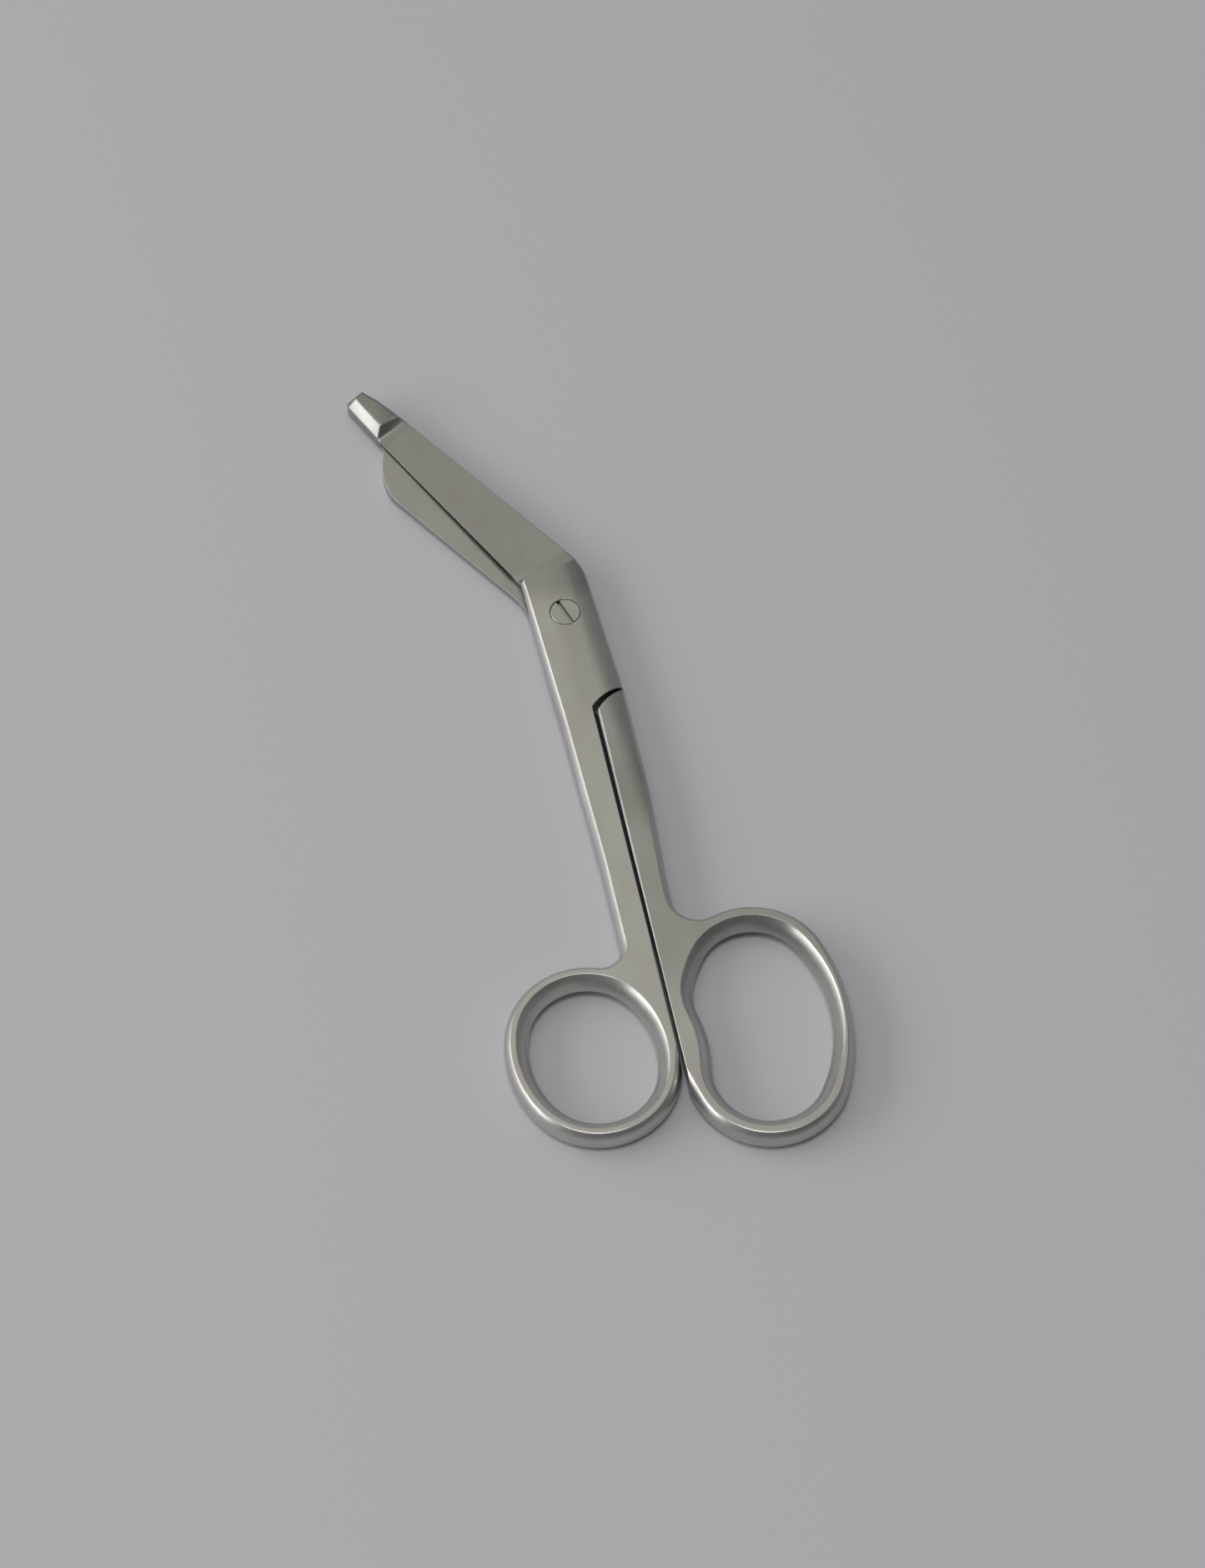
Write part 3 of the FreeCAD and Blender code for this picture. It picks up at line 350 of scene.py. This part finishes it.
def wear_probe(steel, along):
    """Polishing has rounded the facets of the probe's nose and the hollow before it."""
    roundness = 45.0                                # the normal's lean for each metre off the top
    away = steel.vector("SCALE", steel.vector("SUBTRACT", steel.place, tuple(PROBE_TOP)),
                        scale=roundness)
    rounded = steel.vector("NORMALIZE", steel.vector("ADD", steel.normal, away))
    steel.bend(steel.rise(along, NOSE_START), rounded)
    in_hollow = steel.product(steel.rise(along, HOLLOW_START),
                              steel.remap(along, HOLLOW, 0.85, 0.05))
    faces_up = steel.rise(steel.dot(steel.own_normal, (0, 0, 1)), (0.1, 0.3))
    steel.bend(steel.product(in_hollow, faces_up), steel.upright(1.0))


def broad_chamfer(steel, share):
    """Polishing has flattened the upper part of the left shank's outer side."""
    height = steel.axes(steel.normal)[2]
    on_side = steel.product(steel.remap(height, (0.15, 0.45), 0.0, 0.7),
                            steel.fall(height, (0.82, 0.95)))
    sideways = steel.vector("NORMALIZE", steel.level(steel.normal))
    slanted = steel.vector("ADD", steel.vector("SCALE", sideways, scale=0.69),
                           steel.upright(0.72))
    steel.bend(steel.product(share, on_side), slanted)


def upper_half():
    steel = Steel("upper_steel", CREASE)
    follow_shape(steel, SMALL_RING)
    ring_edges(steel)
    along = steel.along(BLADE_TURN)
    worn_less_shade = steel.math("MAXIMUM", near_heel(steel), steel.rise(along, PROBE_START))
    # less painted shade at the heel's line and on the probe
    steel.lighten(steel.product(worn_less_shade, 0.8))
    # painted shade on the cutting edge's wall, times the blade's own tone
    blade_tone = steel.product(edge_wall_painted_shade(steel, along), UPPER_BLADE_TONE)
    # painted shade over the joint, blended into the blade's tone
    steel.darken(steel.between(steel.on_blade, joint_painted_shade(steel), blade_tone))
    steel.widen(worn_less_shade, WORN_CREASE)
    left_side = steel.product(steel.fall(steel.x, LEFT_SIDE_X),
                              steel.fall(steel.y, LEFT_SIDE_UPPER_Y),
                              steel.rise(steel.y, LEFT_SIDE_LOWER_Y))
    steel.widen(left_side, LEFT_SIDE_CREASE)

    steel.creases()
    faded_heel = steel.product(near_heel(steel), steel.rise(steel.z, HEEL_Z), 0.8)
    steel.bend(faded_heel, steel.upright(1.0))
    wear_probe(steel, along)
    broad_chamfer(steel, left_side)
    roll_ring_wall(steel, SMALL_RING, SMALL_RING_REACH)
    return steel.finish(TINT, ROUGHNESS)


def lower_half():
    steel = Steel("lower_steel", CREASE)
    follow_shape(steel, LARGE_RING)
    ring_edges(steel)
    gap_side = steel.product(steel.fall(steel.x, GAP_SIDE_X), steel.fall(steel.y, GAP_SIDE_Y),
                             steel.math("SUBTRACT", 1.0, steel.on_ring))
    steel.widen(gap_side, GAP_SIDE_CREASE)
    # less painted shade high on the right shank's side at the gap
    steel.lighten(steel.product(gap_side, steel.remap(steel.z, GAP_SIDE_Z, 0.0, 0.9)))
    steel.darken(steel.remap(steel.y, RIGHT_SHANK_Y, LARGE_RING_TONE, RIGHT_SHANK_TONE))
    steel.darken(steel.between(steel.on_blade, 1.0, LOWER_BLADE_TONE / RIGHT_SHANK_TONE))
    # darker in a band across the right shank
    off_dark_band = steel.math("ABSOLUTE", steel.math("SUBTRACT", steel.y, DARK_BAND_Y))
    steel.darken(steel.remap(off_dark_band, DARK_BAND_BLEND, DARK_BAND_TONE, 1.0))

    steel.creases()
    roll_ring_wall(steel, LARGE_RING, LARGE_RING_REACH)
    return steel.finish(TINT, ROUGHNESS)


def screw():
    steel = Steel("screw_steel", SCREW_CREASE)
    # less painted shade on the screw
    steel.lighten(0.6)
    steel.creases()
    return steel.finish(SCREW_TINT, SCREW_ROUGHNESS)


for name, material in {"probe_blade_half": upper_half(), "blunt_blade_half": lower_half(),
                       "pivot_screw": screw()}.items():
    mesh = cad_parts[name].data
    mesh.materials.clear()
    mesh.materials.append(material)


# Table: a plain pale top with a fine speckle

TABLE_REACH = 3.0
TABLE_COLOUR = (0.59, 0.59, 0.61, 1)
TABLE_ROUGHNESS = 0.6


def add_object(name, data):
    item = bpy.data.objects.new(name, data)
    bpy.context.scene.collection.objects.link(item)
    return item


def table_top():
    mesh = bpy.data.meshes.new("table_top")
    near, far = -TABLE_REACH, TABLE_REACH
    corners = [(near, near, 0), (far, near, 0), (far, far, 0), (near, far, 0)]
    mesh.from_pydata(corners, [], [(0, 1, 2, 3)])
    material = bpy.data.materials.new("pale_table")
    nodes = Nodes(material)
    place = nodes.add("ShaderNodeTexCoord").outputs["Object"]
    speckle = nodes.noise(place, scale=1800.0, detail=2.0)
    bump = nodes.add("ShaderNodeBump", Height=speckle, Strength=0.05, Distance=0.1 * MM)
    shader = nodes.add("ShaderNodeBsdfPrincipled", Base_Color=TABLE_COLOUR,
                       Roughness=TABLE_ROUGHNESS, Specular_IOR_Level=0.3,
                       Normal=bump.outputs["Normal"])
    nodes.output("ShaderNodeOutputMaterial", shader)
    mesh.materials.append(material)
    table = add_object("table_top", mesh)


table_top()


# Soft studio light: a long low window on the left, a dim warm panel behind, a small one overhead

LIGHT_TARGET = Vector((0, -0.02, 0))


def area_light(name, place, size, energy, colour):
    data = bpy.data.lights.new(name, "AREA")
    data.shape = "RECTANGLE"
    data.size, data.size_y = size
    data.energy = energy
    data.color = colour
    light = add_object(name, data)
    light.location = place
    light.rotation_euler = (LIGHT_TARGET - Vector(place)).to_track_quat("-Z", "Y").to_euler()


area_light("window", (-1.15, 0.25, 0.52), (1.7, 0.5), 8.0, (1.0, 1.0, 1.0))
area_light("ceiling", (-0.15, 0.85, 1.4), (1.3, 1.2), 1.5, (1.0, 0.985, 0.74))
area_light("overhead", (-0.12, -0.30, 1.6), (0.5, 0.5), 6.5, (0.98, 0.98, 1.0))


def studio():
    """Dim walls: darker to the right and in front, a little lighter low down."""
    world = bpy.data.worlds.new("studio")
    bpy.context.scene.world = world
    nodes = Nodes(world)
    x, y, z = nodes.axes(nodes.add("ShaderNodeTexCoord").outputs["Generated"])
    strength = nodes.product(nodes.remap(x, (-1.0, 1.0), 0.34, 0.20),
                             nodes.remap(y, (-1.0, 0.3), 0.45, 1.0),
                             nodes.remap(z, (0.35, 0.6), 1.2, 1.0))
    background = nodes.add("ShaderNodeBackground", Color=(0.97, 0.98, 1.0, 1), Strength=strength)
    nodes.output("ShaderNodeOutputWorld", background)


studio()


# Camera: the photograph's place and angle

CAMERA_PLACE = Vector((-72.90, -369.59, 569.79)) * MM
CAMERA_ELEVATION = math.radians(58.5)
CAMERA_TURN = math.radians(12.0)                    # from y towards x
CAMERA_FOCUS = 5500 / 1881                          # of the photograph's height
SENSOR = 36.0


def camera():
    data = bpy.data.cameras.new("camera")
    data.sensor_width = SENSOR
    data.lens = CAMERA_FOCUS * SENSOR
    data.clip_start = 0.01
    right = Vector((math.cos(CAMERA_TURN), -math.sin(CAMERA_TURN), 0))
    way = Vector((math.sin(CAMERA_TURN) * math.cos(CAMERA_ELEVATION),
                  math.cos(CAMERA_TURN) * math.cos(CAMERA_ELEVATION), -math.sin(CAMERA_ELEVATION)))
    axes = Matrix((right, right.cross(way), -way)).transposed()
    item = add_object("camera", data)
    item.matrix_world = Matrix.Translation(CAMERA_PLACE) @ axes.to_4x4()
    bpy.context.scene.camera = item


camera()
bpy.context.scene.view_settings.view_transform = "Standard"
